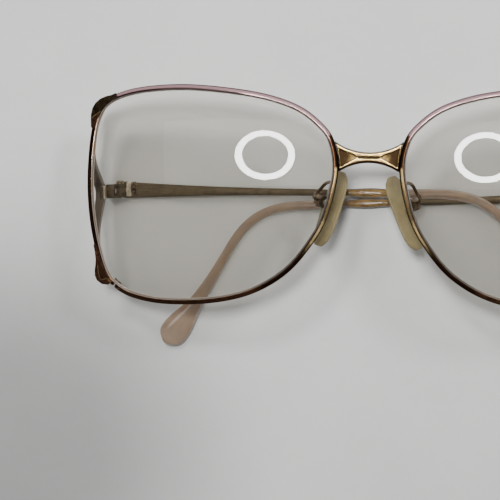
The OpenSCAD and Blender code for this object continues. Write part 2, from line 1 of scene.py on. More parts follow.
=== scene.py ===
"""Looks of the metal eyeglass frame: each piece is dressed over its CAD solid."""
import json
import math

import bmesh
import bpy
import numpy as np
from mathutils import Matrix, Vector
from mathutils.bvhtree import BVHTree

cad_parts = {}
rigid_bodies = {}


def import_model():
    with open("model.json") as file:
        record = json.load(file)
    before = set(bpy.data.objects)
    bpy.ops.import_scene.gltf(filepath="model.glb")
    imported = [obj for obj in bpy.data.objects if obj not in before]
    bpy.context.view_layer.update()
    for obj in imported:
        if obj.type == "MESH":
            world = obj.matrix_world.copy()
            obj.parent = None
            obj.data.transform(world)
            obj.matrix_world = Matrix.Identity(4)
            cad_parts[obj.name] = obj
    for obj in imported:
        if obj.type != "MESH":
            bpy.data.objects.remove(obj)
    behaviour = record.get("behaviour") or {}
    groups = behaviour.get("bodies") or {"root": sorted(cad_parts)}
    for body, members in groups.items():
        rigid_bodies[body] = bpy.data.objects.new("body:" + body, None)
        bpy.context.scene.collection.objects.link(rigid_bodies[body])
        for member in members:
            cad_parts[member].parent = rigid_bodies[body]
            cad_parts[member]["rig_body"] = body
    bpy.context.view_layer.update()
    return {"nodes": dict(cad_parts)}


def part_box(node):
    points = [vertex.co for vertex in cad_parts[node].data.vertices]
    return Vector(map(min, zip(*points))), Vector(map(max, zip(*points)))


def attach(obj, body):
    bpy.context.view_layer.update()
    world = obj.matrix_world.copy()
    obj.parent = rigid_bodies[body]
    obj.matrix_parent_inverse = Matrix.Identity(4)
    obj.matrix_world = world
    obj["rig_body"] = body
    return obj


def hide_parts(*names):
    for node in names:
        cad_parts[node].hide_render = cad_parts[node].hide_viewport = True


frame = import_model()

bl_info = {
    "name": "Metal Eyeglass Frame",
    "version": (1, 0, 0),
    "blender": (4, 5, 0),
    "location": "3D View > Sidebar > Eyeglasses",
    "description": "Dresses a wire eyeglass frame piece by piece",
    "category": "Object",
}

MM = 0.001
SIDES = ("left", "right")
# Outward direction of each side along X
OUTWARD = {"left": -1, "right": 1}


# Settings

class LensSettings(bpy.types.PropertyGroup):
    """Sizes and colour of the lenses."""

    curve: bpy.props.FloatProperty(
        name="Curve radius", description="Radius of the sphere that lens and eyewire follow",
        default=0.0845, min=0.06, max=0.2, unit="LENGTH", subtype="DISTANCE")
    turn: bpy.props.FloatProperty(
        name="Turn", description="Angle by which each lens is turned back at the temple",
        default=math.radians(3.2), unit="ROTATION", subtype="ANGLE")
    rings: bpy.props.IntProperty(
        name="Rings", description="Rings of faces from the edge of a lens to its middle",
        default=14, min=4, max=40)
    clear: bpy.props.FloatVectorProperty(
        name="Glass", description="Colour that the lens lets through",
        default=(0.93, 0.915, 0.875), size=3, subtype="COLOR", min=0, max=1)
    shade: bpy.props.FloatProperty(
        name="Shade", description="Light that each face of a lens lets through to what lies below",
        default=0.62, min=0, max=1)


class MetalSettings(bpy.types.PropertyGroup):
    """Sizes and colours of the metal pieces."""

    grain: bpy.props.FloatProperty(
        name="Skin cell", description="Size of the cells that a casting's skin is rebuilt in",
        default=0.00009, min=0.00005, max=0.0004, unit="LENGTH", subtype="DISTANCE")
    edge: bpy.props.FloatProperty(
        name="Eased edge", description="Width of the eased edges of cut metal parts",
        default=0.00007, min=0.00001, max=0.0003, unit="LENGTH", subtype="DISTANCE")
    gold: bpy.props.FloatVectorProperty(
        name="Gold", description="Polished gold plate",
        default=(0.78, 0.56, 0.22), size=3, subtype="COLOR", min=0, max=1)
    deep_gold: bpy.props.FloatVectorProperty(
        name="Deep gold", description="Gold plate worn towards the brass",
        default=(0.50, 0.33, 0.12), size=3, subtype="COLOR", min=0, max=1)
    bronze: bpy.props.FloatVectorProperty(
        name="Bronze", description="Dark bronze lacquer",
        default=(0.115, 0.052, 0.028), size=3, subtype="COLOR", min=0, max=1)
    satin: bpy.props.FloatVectorProperty(
        name="Satin gold", description="Tarnished plate of the temple blades",
        default=(0.205, 0.157, 0.098), size=3, subtype="COLOR", min=0, max=1)
    enamel: bpy.props.FloatVectorProperty(
        name="Rose enamel", description="Enamel on the brow",
        default=(0.27, 0.15, 0.16), size=3, subtype="COLOR", min=0, max=1)


class SoftSettings(bpy.types.PropertyGroup):
    """Colours of the plastic tips, and colour and skin of the nose pads."""

    tip: bpy.props.FloatVectorProperty(
        name="Tip", description="Rosy plastic of the temple tips",
        default=(0.35, 0.25, 0.175), size=3, subtype="COLOR", min=0, max=1)
    amber: bpy.props.FloatVectorProperty(
        name="Amber", description="Clear amber where a tip starts",
        default=(0.37, 0.225, 0.075), size=3, subtype="COLOR", min=0, max=1)
    pad: bpy.props.FloatVectorProperty(
        name="Pad", description="Yellowed silicone of the nose pads",
        default=(0.245, 0.20, 0.10), size=3, subtype="COLOR", min=0, max=1)
    pad_cell: bpy.props.FloatProperty(
        name="Pad cell", description="Size of the cells that a nose pad's skin is rebuilt in",
        default=0.00016, min=0.00008, max=0.0005, unit="LENGTH", subtype="DISTANCE")


class StageSettings(bpy.types.PropertyGroup):
    """Table, lights and ring lamp."""

    table: bpy.props.FloatVectorProperty(
        name="Table", description="Colour of the table",
        default=(0.72, 0.72, 0.71), size=3, subtype="COLOR", min=0, max=1)
    sky: bpy.props.FloatProperty(
        name="Fill", description="Strength of the even light all round", default=0.11, min=0)
    ceiling: bpy.props.FloatProperty(
        name="Ceiling power", description="Power of the pale ceiling that the metal mirrors",
        default=0.75, min=0, unit="POWER")
    key: bpy.props.FloatProperty(
        name="Key power", description="Power of the lamp above the brow",
        default=2.85, min=0, unit="POWER")
    side: bpy.props.FloatProperty(
        name="Side power", description="Power of each of the two far lamps",
        default=2.0, min=0, unit="POWER")
    ring_out: bpy.props.FloatProperty(
        name="Ring radius", description="Outer radius of the ring lamp round the camera",
        default=0.061, unit="LENGTH", subtype="DISTANCE")
    ring_in: bpy.props.FloatProperty(
        name="Ring hole", description="Inner radius of the ring lamp",
        default=0.047, unit="LENGTH", subtype="DISTANCE")
    ring_glow: bpy.props.FloatProperty(
        name="Ring glow", description="Strength of the ring lamp", default=60, min=0)


# Ways to write a finish

class Finish:
    """A material that is being made, with short words for its nodes."""

    def __init__(self, name, **sockets):
        self.material = bpy.data.materials.new(name)
        self.material.use_nodes = True
        self.tree = self.material.node_tree
        self.surface = self.tree.nodes["Principled BSDF"]
        self.set(**sockets)

    def feed(self, socket, value):
        """Puts a number, a colour or another node's result into a socket."""
        if isinstance(value, bpy.types.NodeSocket):
            self.tree.links.new(value, socket)
        elif isinstance(value, (tuple, list)) and len(value) == 3 and len(socket.default_value) == 4:
            socket.default_value = (*value, 1)
        else:
            socket.default_value = value

    def set(self, **sockets):
        for name, value in sockets.items():
            self.feed(self.surface.inputs[name.replace("_", " ")], value)

    def add(self, kind, inputs, **settings):
        made = self.tree.nodes.new("ShaderNode" + kind)
        for name, value in settings.items():
            setattr(made, name, value)
        for name, value in inputs.items():
            self.feed(made.inputs[name], value)
        return made

    def place(self, stretch=(1, 1, 1), turn=0.0):
        """Place on the piece in millimetres, stretched for streaks."""
        start = self.add("TexCoord", {}).outputs["Object"]
        scale = tuple(1000 / s for s in stretch)
        inputs = {"Vector": start, "Scale": scale, "Rotation": (0, 0, turn)}
        return self.add("Mapping", inputs).outputs[0]

    def vector(self, name):
        """What is stored for each point of the mesh under a name."""
        return self.add("Attribute", {}, attribute_name=name).outputs["Vector"]

    def parts(self, vector):
        return self.add("SeparateXYZ", {0: vector}).outputs

    def noise(self, place, size, detail=3.0, rough=0.55):
        """Cloudy values, with spots of a size in millimetres."""
        inputs = {"Vector": place, "Scale": 1 / size, "Detail": detail, "Roughness": rough}
        return self.add("TexNoise", inputs).outputs[0]

    def distance(self, place, point):
        return self.add("VectorMath", {0: place, 1: point}, operation="DISTANCE").outputs["Value"]

    def sums(self, operation, a, b=0.0, limit=False):
        return self.add("Math", {0: a, 1: b}, operation=operation, use_clamp=limit).outputs[0]

    def plus(self, a, b):
        return self.sums("ADD", a, b)

    def minus(self, a, b):
        return self.sums("SUBTRACT", a, b)

    def times(self, a, b):
        return self.sums("MULTIPLY", a, b)

    def most(self, a, b):
        return self.sums("MAXIMUM", a, b)

    def swing(self, noise, amount):
        """Noise about nought, times an amount."""
        return self.times(self.minus(noise, 0.5), amount)

    def fade(self, value, low, high, start=0.0, end=1.0):
        """Goes smoothly from start to end while the value goes from low to high."""
        inputs = {"Value": value, "From Min": low, "From Max": high, "To Min": start, "To Max": end}
        return self.add("MapRange", inputs, interpolation_type="SMOOTHSTEP").outputs[0]

    def band(self, value, low, high, soft):
        """One between low and high, nothing outside."""
        rise = self.fade(value, low - soft, low + soft)
        return self.times(rise, self.fade(value, high - soft, high + soft, 1.0, 0.0))

    def stroke(self, away):
        """A fine engraved line where a distance in millimetres is nought."""
        return self.band(away, -0.04, 0.04, 0.05)

    def blend(self, share, a, b):
        made = self.tree.nodes.new("ShaderNodeMix")
        made.data_type = "RGBA"
        for socket, value in ((0, share), (6, a), (7, b)):
            self.feed(made.inputs[socket], value)
        return made.outputs[2]

    def relief(self, height, depth, under=None):
        """Bump of a depth in millimetres."""
        inputs = {"Height": height, "Strength": 1.0, "Distance": depth * MM}
        if under is not None:
            inputs["Normal"] = under
        return self.add("Bump", inputs).outputs[0]


# Ways to work on a piece

def merged_copy(node):
    """A copy of a CAD node, with its loose triangles made one closed mesh."""
    bm = bmesh.new()
    bm.from_mesh(frame["nodes"][node].data)
    bmesh.ops.remove_doubles(bm, verts=bm.verts, dist=0.002 * MM)
    return bm


def squared(bm, bend=30):
    """Joins the triangles of a swept form into its four-sided faces."""
    bmesh.ops.join_triangles(
        bm, faces=bm.faces, angle_face_threshold=math.radians(bend),
        angle_shape_threshold=math.radians(70))


def add_piece(name, bm, node, slot, *materials):
    """Puts a finished mesh in the place of a CAD node, on the same body."""
    mesh = bpy.data.meshes.new(name)
    bm.to_mesh(mesh)
    bm.free()
    for material in materials:
        mesh.materials.append(material)
    mesh.polygons.foreach_set("use_smooth", [True] * len(mesh.polygons))
    piece = bpy.data.objects.new(name, mesh)
    bpy.context.scene.collection.objects.link(piece)
    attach(piece, frame["nodes"][node]["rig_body"])
    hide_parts(node)
    return piece


def rounded(piece, levels=2):
    """Subdivides a piece into smooth curves."""
    made = piece.modifiers.new("Smooth curves", "SUBSURF")
    made.levels = levels
    made.render_levels = levels


def crisp(bm, angle=35):
    """Marks the edges that stay sharp."""
    for e in bm.edges:
        e.smooth = not (e.is_manifold and e.calc_face_angle(0) > math.radians(angle))


def cast_copy(node, cell, passes):
    """A CAD node with its skin rebuilt in small even cells and its edges softened, as on a casting."""
    bm = merged_copy(node)
    mesh = bpy.data.meshes.new("casting")
    bm.to_mesh(mesh)
    casting = bpy.data.objects.new("casting", mesh)
    bpy.context.scene.collection.objects.link(casting)
    skin = casting.modifiers.new("Skin", "REMESH")
    skin.mode = "VOXEL"
    skin.voxel_size = cell
    soft = casting.modifiers.new("Soft edges", "SMOOTH")
    soft.factor = 0.5
    soft.iterations = passes
    made = casting.evaluated_get(bpy.context.evaluated_depsgraph_get()).to_mesh()
    bm.clear()
    bm.from_mesh(made)
    bpy.data.objects.remove(casting)
    return bm


def cut_metal(node, edge):
    """A CAD node with its sharp edges eased, as on a milled or turned part."""
    bm = merged_copy(node)
    bmesh.ops.dissolve_limit(
        bm, angle_limit=math.radians(1), use_dissolve_boundaries=False, verts=bm.verts, edges=bm.edges)
    sharp = [e for e in bm.edges if e.is_manifold and e.calc_face_angle(0) > math.radians(30)]
    bmesh.ops.bevel(
        bm, geom=sharp, offset=edge, offset_type="OFFSET", segments=2, profile=0.5, affect="EDGES",
        clamp_overlap=True, material=-1)
    crisp(bm, 40)
    return bm


def keep(mesh, name, values):
    """Stores one vector for each point of a mesh, for its finish to read."""
    made = mesh.attributes.new(name, "FLOAT_VECTOR", "POINT")
    made.data.foreach_set("vector", np.asarray(values, np.float32).ravel())


def keep_facing(mesh):
    """The direction that the surface faces at each point."""
    keep(mesh, "facing", [tuple(n.vector) for n in mesh.vertex_normals])


class Wire:
    """The line of a lens's edge, and places near it: along the wire, out of it and in front of it."""

    def __init__(self, side):
        lens = bpy.context.scene.eyeglass_lens
        low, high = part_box("lens_" + side)
        rim = [v.co for v in frame["nodes"]["lens_" + side].data.vertices]
        far = max(rim, key=lambda p: p.x * OUTWARD[side])
        middle = (low + high) / 2
        c = Vector((middle.x - OUTWARD[side] * lens.curve * math.sin(lens.turn), middle.y, 0))
        c.z = far.z - math.sqrt(lens.curve ** 2 - (far.x - c.x) ** 2 - (far.y - c.y) ** 2)
        ring = {
            tuple(round(x, 7) for x in p) for p in rim
            if abs((p - c).length - lens.curve) < 0.1 * MM}

        def heading(x, y):
            return math.atan2(y - middle.y, (x - middle.x) * -OUTWARD[side])

        # The line starts just before the split where the wire is closed
        split = sum(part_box("closing_screw_" + side), Vector()) / 2
        start = heading(split.x, split.y) - 0.01
        self.middle, self.centre, self.radius = middle, c, lens.curve
        self.a = np.array(sorted(ring, key=lambda p: (heading(p[0], p[1]) - start) % math.tau))
        self.b = np.roll(self.a, -1, axis=0)
        self.run = np.linalg.norm(self.b - self.a, axis=1)
        self.before = np.concatenate([[0], np.cumsum(self.run)[:-1]])
        self.hand = OUTWARD[side]

    def places(self, pts):
        """(along, out, front) of each point, in millimetres."""
        step = (self.b - self.a) / self.run[:, None]
        rel = pts[:, None, :] - self.a[None, :, :]
        t = np.clip(np.einsum("psk,sk->ps", rel, step), 0, self.run[None, :])
        gap = np.linalg.norm(rel - t[..., None] * step[None], axis=2)
        best = gap.argmin(axis=1)
        row = np.arange(len(pts))
        t = t[row, best]
        foot = self.a[best] + t[:, None] * step[best]
        facing = foot - np.array(self.centre)
        facing /= np.linalg.norm(facing, axis=1)[:, None]
        outwards = np.cross(facing, step[best]) * self.hand
        out = np.einsum("pk,pk->p", pts - foot, outwards)
        front = np.linalg.norm(pts - np.array(self.centre), axis=1) - self.radius
        return np.stack([self.before[best] + t, out, front], axis=1) / MM

    def length(self):
        """Length of the whole line in millimetres."""
        return self.run.sum() / MM

    def keep_places(self, mesh):
        keep(mesh, "wire_place", self.places(np.array([v.co for v in mesh.vertices])))


# Finishes

# Runs of an eyewire, as shares of the way round from its closing split
NOSE_RUN = (0.2, 0.43)
BROW_RUN = (0.435, 0.74)
TEMPLE_RUN = (0.77, 0.90)
GILT_STARTS = (0.24, 0.335)
GILT_ENDS = (0.385, 0.4)
WORN_STARTS = (0.31, 0.34)


def tint(colour, share=1.0):
    """A colour made darker or lighter by a share."""
    return tuple(min(share * c, 1) for c in colour)


def bridge_gold(low, high):
    """Gold plate with dark lacquer worn off the raised bars and left in the panels, and painted shade
    on the steep sides and the lower slant by the arch.
    """
    arch_top, arch_drop = 2.2, 0.0445
    bar_depth, panel_depth = 0.14, 0.36
    metal = bpy.context.scene.eyeglass_metal
    f = Finish("bridge_gold", Metallic=1.0)
    mm = f.place()
    x, y, z = f.parts(mm)
    _, brow, upward = f.parts(f.vector("facing"))
    face = high.z / MM
    sunk = f.fade(z, face - bar_depth, face - panel_depth)
    # Height over the lower arch
    arch = f.plus(f.minus(y, low.y / MM + arch_top), f.times(f.times(x, x), arch_drop))
    aside = f.sums("ABSOLUTE", x)
    # Panels darken from the ends of the slot outwards, and the slot is dark all through
    slot = f.fade(aside, 2.55, 2.35, 0.0, 0.8)
    away = f.most(f.sums("MULTIPLY", f.minus(aside, 2.6), 0.3, limit=True), slot)
    clouds = f.noise(mm, 1.1)
    grain = f.noise(mm, 0.09, 2.0)
    # Painted shade: the steep sides, the faces that turn downwards and the lower slant by the arch are
    # darkened
    shaded_flank = f.most(f.fade(upward, 0.84, 0.5), f.fade(brow, -0.2, -0.4))
    shaded_wall = f.most(shaded_flank, f.fade(arch, 0.85, 0.7))
    cloudy = f.plus(away, f.swing(clouds, 0.8))
    panel = f.times(sunk, f.fade(cloudy, -0.1, 0.9, 0.15, 1.0))
    plate = f.blend(f.fade(clouds, 0.3, 0.6), tint(metal.gold), tint(metal.deep_gold))
    plate = f.blend(f.fade(aside, 2.5, 7.0, 0.0, 0.6), plate, tint(metal.deep_gold, 0.6))
    # Dark lacquer of the panels, which also paints the shade on the steep sides
    lacquer = (0.048, 0.027, 0.013)
    dull = f.times(f.most(sunk, shaded_wall), f.fade(grain, 0.2, 0.9, 0.12, 0.4))
    f.set(
        Base_Color=f.blend(f.most(panel, shaded_wall), plate, lacquer),
        Roughness=f.plus(0.17, dull),
        Normal=f.relief(f.times(sunk, grain), 0.05, f.relief(clouds, 0.02)))
    return f.material


def eyewire_metal(side, turn):
    """The eyewire: gold by the nose, going over to brown lacquer, with a centre stripe of worn plate
    and painted highlight, and a painted highlight along the inner edge at the temple.
    """
    middle = 0.275
    rose_brown = (0.26, 0.165, 0.165)
    # Gold plate with a painted highlight, for the centre stripe by the nose
    gilt_and_painted_highlight = (0.92, 0.69, 0.32)
    # Pale colour of the painted highlight along the inner edge at the temple
    bare = (0.78, 0.60, 0.44)
    metal = bpy.context.scene.eyeglass_metal
    f = Finish("eyewire_metal_" + side, Metallic=1.0)
    mm = f.place()
    along, out, front = f.parts(f.vector("wire_place"))
    share = f.sums("DIVIDE", along, turn)
    nose = f.band(share, *NOSE_RUN, 0.01)
    gilt = f.times(f.fade(share, *GILT_STARTS), f.fade(share, *GILT_ENDS, 1.0, 0.0))
    # The stripe along the front of the wire is lighter than its flanks: worn plate with a painted
    # highlight
    narrow = f.times(f.band(out, middle - 0.29, middle + 0.29, 0.08), f.fade(front, 0.35, 0.6))
    broad = f.times(f.band(out, middle - 0.40, middle + 0.36, 0.08), f.fade(front, 0.15, 0.35))
    stripe = f.most(narrow, f.times(broad, gilt))
    # Painted highlight along the inner edge on the temple side
    inner = f.times(f.fade(out, -0.24, -0.33), f.band(share, *TEMPLE_RUN, 0.02))
    speck = f.noise(mm, 0.14, 2.0)
    clouds = f.noise(mm, 1.4)
    worn = f.fade(share, *WORN_STARTS, 1.2, 0.25)
    wear_and_highlight = f.fade(f.plus(gilt, f.swing(speck, worn)), 0.3, 0.7)
    brown = f.blend(f.fade(clouds, 0.3, 0.75), tint(metal.bronze, 0.55), tint(metal.bronze, 0.95))
    brown = f.blend(nose, brown, tint(metal.bronze, 0.35))
    brown = f.blend(f.band(share, *BROW_RUN, 0.01), brown, rose_brown)
    # Painted highlight: the speckled brown of the stripe is lighter than the flanks, except by the
    # nose
    under = f.blend(f.fade(speck, 0.35, 0.65), brown, tint(metal.bronze, 1.5))
    under = f.blend(nose, under, tint(metal.bronze, 0.25))
    centre = f.blend(wear_and_highlight, under, gilt_and_painted_highlight)
    pits = f.times(speck, worn)
    f.set(
        Base_Color=f.blend(inner, f.blend(stripe, brown, centre), bare),
        Roughness=f.fade(pits, 0.2, 0.8, 0.16, 0.42),
        Normal=f.relief(pits, 0.012, f.relief(clouds, 0.015)))
    return f.material


def rose_enamel(side):
    """Enamel over fine slanting cuts in the metal below."""
    metal = bpy.context.scene.eyeglass_metal
    f = Finish("rose_enamel_" + side, Coat_Weight=0.3, Coat_Roughness=0.1, IOR=1.45)
    mm = f.place()
    along, out, _ = f.parts(f.vector("wire_place"))
    slant = f.plus(f.times(along, 14.0), f.times(out, 9.0))
    cuts = f.times(f.plus(f.sums("SINE", slant), 1.0), 0.5)
    clouds = f.noise(mm, 1.6)
    edge = f.band(out, -0.06, 0.61, 0.07)
    body = f.blend(f.fade(clouds, 0.3, 0.75), tint(metal.enamel), tint(metal.enamel, 0.86))
    lit = f.blend(f.times(cuts, 0.22), body, (0.62, 0.46, 0.47))
    f.set(
        Base_Color=f.blend(edge, tint(metal.enamel, 0.45), lit),
        Metallic=f.times(cuts, 0.15),
        Roughness=f.fade(clouds, 0.2, 0.8, 0.25, 0.4),
        Normal=f.relief(cuts, 0.006, f.relief(clouds, 0.01)))
    return f.material


def yoke_bronze(side, leaf, hinge_y):
    """Dark lacquer with engraved gold lines on the corner lugs, thin brown plate on the arms, and a
    painted highlight on the step in front of the hinge leaf.
    """
    metal = bpy.context.scene.eyeglass_metal
    f = Finish("yoke_bronze_" + side, Metallic=0.9, Coat_Weight=0.35, Coat_Roughness=0.12)
    mm = f.place()
    x, y, _ = f.parts(mm)
    along, out, front = f.parts(f.vector("wire_place"))
    clouds = f.noise(mm, 1.3)
    speck = f.noise(mm, 0.16, 2.0)
    # Distances from the slanting line on the upper lug, and from the two that meet on the lower one
    upper = f.minus(f.times(f.minus(along, 136.1), 0.75), f.plus(out, 0.5))
    lower = f.minus(f.times(f.minus(along, 174.14), 0.37), f.minus(out, 1.5))
    across = f.plus(f.minus(along, 177.11), f.times(out, 0.18))
    lines = 0.0
    for stroke, run, start, end in (
            (f.stroke(upper), along, 135.6, 138.6),
            (f.stroke(lower), along, 173.4, 176.6),
            (f.stroke(across), out, 0.35, 2.2),
            (f.band(out, 0.2, 0.42, 0.06), along, 177.2, 179.3)):
        lines = f.most(lines, f.times(stroke, f.band(run, start, end, 0.1)))
    lines = f.times(lines, f.fade(front, 0.4, 0.7))
    # Painted highlight: a bright step in front of the hinge leaf, where its edge catches the light
    beside_leaf = f.band(x, leaf - 0.22, leaf + 0.22, 0.06)
    step = f.times(beside_leaf, f.band(y, hinge_y - 1.5, hinge_y + 1.5, 0.1))
    bare = f.fade(f.plus(front, f.swing(clouds, 0.9)), -1.5, -2.9)
    ruddy = f.times(f.fade(upper, 0.0, 0.1), f.fade(speck, 0.35, 0.6))
    olive = f.blend(f.fade(clouds, 0.35, 0.65), (0.035, 0.022, 0.010), (0.105, 0.066, 0.030))
    lacquer = f.blend(ruddy, olive, (0.17, 0.065, 0.035))
    skin = f.blend(bare, lacquer, (0.150, 0.118, 0.085))
    polish_and_highlight = f.blend(step, tint(metal.gold), (0.88, 0.76, 0.58))
    f.set(
        Base_Color=f.blend(f.most(lines, step), skin, polish_and_highlight),
        Roughness=f.plus(f.fade(speck, 0.25, 0.8, 0.2, 0.34), f.times(bare, 0.1)),
        Normal=f.relief(lines, -0.04, f.relief(speck, 0.008, f.relief(clouds, 0.03))))
    return f.material


def satin_plate(name, colour, streak=(6, 0.12, 0.12)):
    """Brushed plate with streaks along the piece and small tarnished patches."""
    f = Finish(name, Metallic=1.0)
    streaks = f.noise(f.place(streak), 1.0, 3.0)
    patches = f.noise(f.place(), 2.2, 4.0)
    base = f.blend(f.fade(patches, 0.42, 0.72), colour, tint(colour, 0.62))
    f.set(
        Base_Color=f.blend(f.fade(streaks, 0.3, 0.75), base, tint(colour, 1.3)),
        Roughness=f.fade(streaks, 0.25, 0.8, 0.3, 0.46),
        Normal=f.relief(streaks, 0.012, f.relief(patches, 0.02)))
    return f.material


def turned_metal(name, colour, rough=0.24):
    """Small turned or milled parts: polished, with fine tool marks and stains."""
    f = Finish(name, Metallic=1.0)
    marks = f.noise(f.place((0.5, 0.05, 0.5)), 1.0, 2.0)
    stain = f.noise(f.place(), 0.6, 3.0)
    f.set(
        Base_Color=f.blend(f.fade(stain, 0.4, 0.7), colour, tint(colour, 0.5)),
        Roughness=f.plus(rough, f.times(marks, 0.14)),
        Normal=f.relief(marks, 0.008))
    return f.material


def hinge_leaf(side, axis):
    """Temple leaf of a hinge: tarnished, with a bright cut face and two bright rivets beside it, whose
    brightness is polish and a painted highlight.
    """
    cut_face = (1.4, 2.4)
    rivet_in, rivets_up = 2.85, (-0.85, 0.25)
    metal = bpy.context.scene.eyeglass_metal
    f = Finish("hinge_leaf_" + side, Metallic=1.0)
    x, y, _ = f.parts(f.place())
    inwards = f.times(f.minus(x, axis.x), -OUTWARD[side])
    stain = f.noise(f.place(), 0.6, 3.0)
    marks = f.noise(f.place((0.05, 0.5, 0.5)), 1.0, 2.0)
    # Painted highlight on the cut face and the two rivets, over polished metal
    bright = f.band(inwards, *cut_face, 0.06)
    flat = f.add("CombineXYZ", {0: x, 1: y}).outputs[0]
    for up in rivets_up:
        away = f.distance(flat, (axis.x - OUTWARD[side] * rivet_in, axis.y + up, 0))
        bright = f.most(bright, f.fade(away, 0.16, 0.24, 1.0, 0.0))
    polish_and_highlight = f.blend(stain, (0.88, 0.74, 0.50), (0.95, 0.85, 0.68))
    f.set(
        Base_Color=f.blend(bright, tint(metal.satin, 1.3), polish_and_highlight),
        Roughness=f.plus(0.2, f.times(marks, 0.16)),
        Normal=f.relief(marks, 0.008))
    return f.material


def lens_glass(turn):
    """Clear lens with a faint bloom, and a dull ground edge painted in the browns of the rim that it
    reflects; it lets light through to the table.
    """
    rim_reflection_brown, rim_reflection_dark = (0.16, 0.10, 0.06), (0.03, 0.016, 0.01)
    lens = bpy.context.scene.eyeglass_lens
    f = Finish("lens_glass", IOR=1.56)
    bloom = f.noise(f.place(), 9.0, 4.0)
    smears = f.noise(f.place((7, 2.2, 3), 0.5), 1.0, 4.0)
    along, out, _ = f.parts(f.vector("wire_place"))
    # The ground edge is painted with the browns of the rim that it reflects, darker by the nose: a
    # painted reflection
    ground = f.fade(out, -0.5, -0.4)
    nose = f.band(f.sums("DIVIDE", along, turn), 0.2, 0.44, 0.02)
    glass = f.blend(f.fade(bloom, 0.35, 0.7), tint(lens.clear), tint(lens.clear, 0.985))
    f.set(
        Base_Color=f.blend(ground, glass, f.blend(nose, rim_reflection_brown, rim_reflection_dark)),
        Transmission_Weight=f.minus(1.0, ground),
        Roughness=f.most(f.fade(smears, 0.62, 0.85, 0.0, 0.04), f.times(ground, 0.5)))
    through = f.add("BsdfTransparent", {"Color": tint(lens.clear, lens.shade)}).outputs[0]
    shadow = f.add("LightPath", {}).outputs["Is Shadow Ray"]
    mixed = f.add("MixShader", {0: shadow, 1: f.surface.outputs[0], 2: through}).outputs[0]
    f.tree.links.new(mixed, f.tree.nodes["Material Output"].inputs["Surface"])
    return f.material


def tip_plastic(side, start):
    """Rosy plastic that is clear amber where it starts, over the blade's core."""
    amber_ends = (11.5, 15.5)
    painted_side_shade = (0.09, 0.05, 0.02)
    soft = bpy.context.scene.eyeglass_soft
    f = Finish(
        "tip_plastic_" + side, IOR=1.6, Coat_IOR=2.0, Coat_Roughness=0.04,
        Subsurface_Scale=0.002, Subsurface_Radius=(1.0, 0.6, 0.4))
    mm = f.place()
    x, _, _ = f.parts(mm)
    _, _, upward = f.parts(f.vector("facing"))
    away = f.times(f.minus(x, start), -OUTWARD[side])
    clouds = f.noise(mm, 3.0)
    swirl = f.noise(f.place((2.2, 0.5, 0.5)), 1.0, 3.0)
    clear = f.fade(f.plus(away, f.times(swirl, 3.0)), *amber_ends, 1.0, 0.0)
    body = f.blend(f.fade(clouds, 0.3, 0.7), tint(soft.tip), tint(soft.tip, 0.88))
    amber = f.blend(f.fade(swirl, 0.38, 0.6), tint(soft.amber), tint(soft.amber, 0.5))
    f.set(
        # Painted shade: the clear amber start is darker on its sides than on its top
        Base_Color=f.blend(clear, body, f.blend(f.fade(upward, 0.75, 0.3), amber, painted_side_shade)),
        Transmission_Weight=f.times(clear, 0.2),
        Subsurface_Weight=f.minus(0.5, f.times(clear, 0.4)),
        Coat_Weight=f.minus(1.0, f.times(clear, 0.85)),
        Roughness=f.fade(clouds, 0.25, 0.8, 0.14, 0.2),
        Normal=f.relief(f.times(swirl, clear), 0.15, f.relief(f.noise(mm, 1.2), 0.003)))
    return f.material


def pad_silicone():
    """Matt, yellowed silicone in slightly uneven tones."""
    soft = bpy.context.scene.eyeglass_soft
    f = Finish(
        "pad_silicone", IOR=1.43, Subsurface_Weight=0.6, Subsurface_Scale=0.0018,
        Subsurface_Radius=(1.0, 0.8, 0.45))
    mm = f.place()
    clouds = f.noise(mm, 2.4, 4.0)
    speck = f.noise(mm, 0.3, 2.0)
    f.set(
        Base_Color=f.blend(f.fade(clouds, 0.3, 0.72), tint(soft.pad), tint(soft.pad, 0.8)),
        Roughness=f.fade(speck, 0.25, 0.8, 0.38, 0.55),
        Normal=f.relief(speck, 0.015))
    return f.material


def table_top():
    """Pale table, faintly mottled, that falls off into shade at the near left corner."""
    dark_corner, dark_reach = (-92, -62, 0), (18, 75)
    stage = bpy.context.scene.eyeglass_stage
    f = Finish("table_top", Roughness=0.6, Specular_IOR_Level=0.2)
    mm = f.place()
    wide = f.noise(mm, 34.0, 3.0)
    fine = f.noise(mm, 2.5, 4.0)
    shade = f.plus(f.times(wide, 0.75), f.times(fine, 0.25))
    mottled = f.blend(f.fade(shade, 0.3, 0.7), tint(stage.table), tint(stage.table, 0.94))
    dim = f.fade(f.distance(mm, dark_corner), *dark_reach, 0.5, 0.0)
    f.set(Base_Color=f.blend(dim, mottled, (0, 0, 0)), Normal=f.relief(fine, 0.03))
    return f.material


# Pieces

class EYEGLASS_OT_eyewires(bpy.types.Operator):
    """Rounds the two eyewires and gives them their worn gold and brown"""

    bl_idname = "eyeglass.eyewires"
    bl_label = "Eyewires"

    def execute(self, context):
        for side in SIDES:
            wire = Wire(side)
            bm = merged_copy("rim_" + side)
            squared(bm)
            finish = eyewire_metal(side, wire.length())
            piece = add_piece("eyewire_" + side, bm, "rim_" + side, "bronze_metal", finish)
            wire.keep_places(piece.data)
            rounded(piece)
        return {"FINISHED"}


class EYEGLASS_OT_enamel(bpy.types.Operator):
    """Lays the rose enamel on the brows"""

    bl_idname = "eyeglass.enamel"
    bl_label = "Brow enamel"

    def execute(self, context):
        for side in SIDES:
            bm = merged_copy("enamel_" + side)
            squared(bm)
            finish = rose_enamel(side)
            piece = add_piece("brow_enamel_" + side, bm, "enamel_" + side, "rose_enamel", finish)
            Wire(side).keep_places(piece.data)
            rounded(piece)
        return {"FINISHED"}


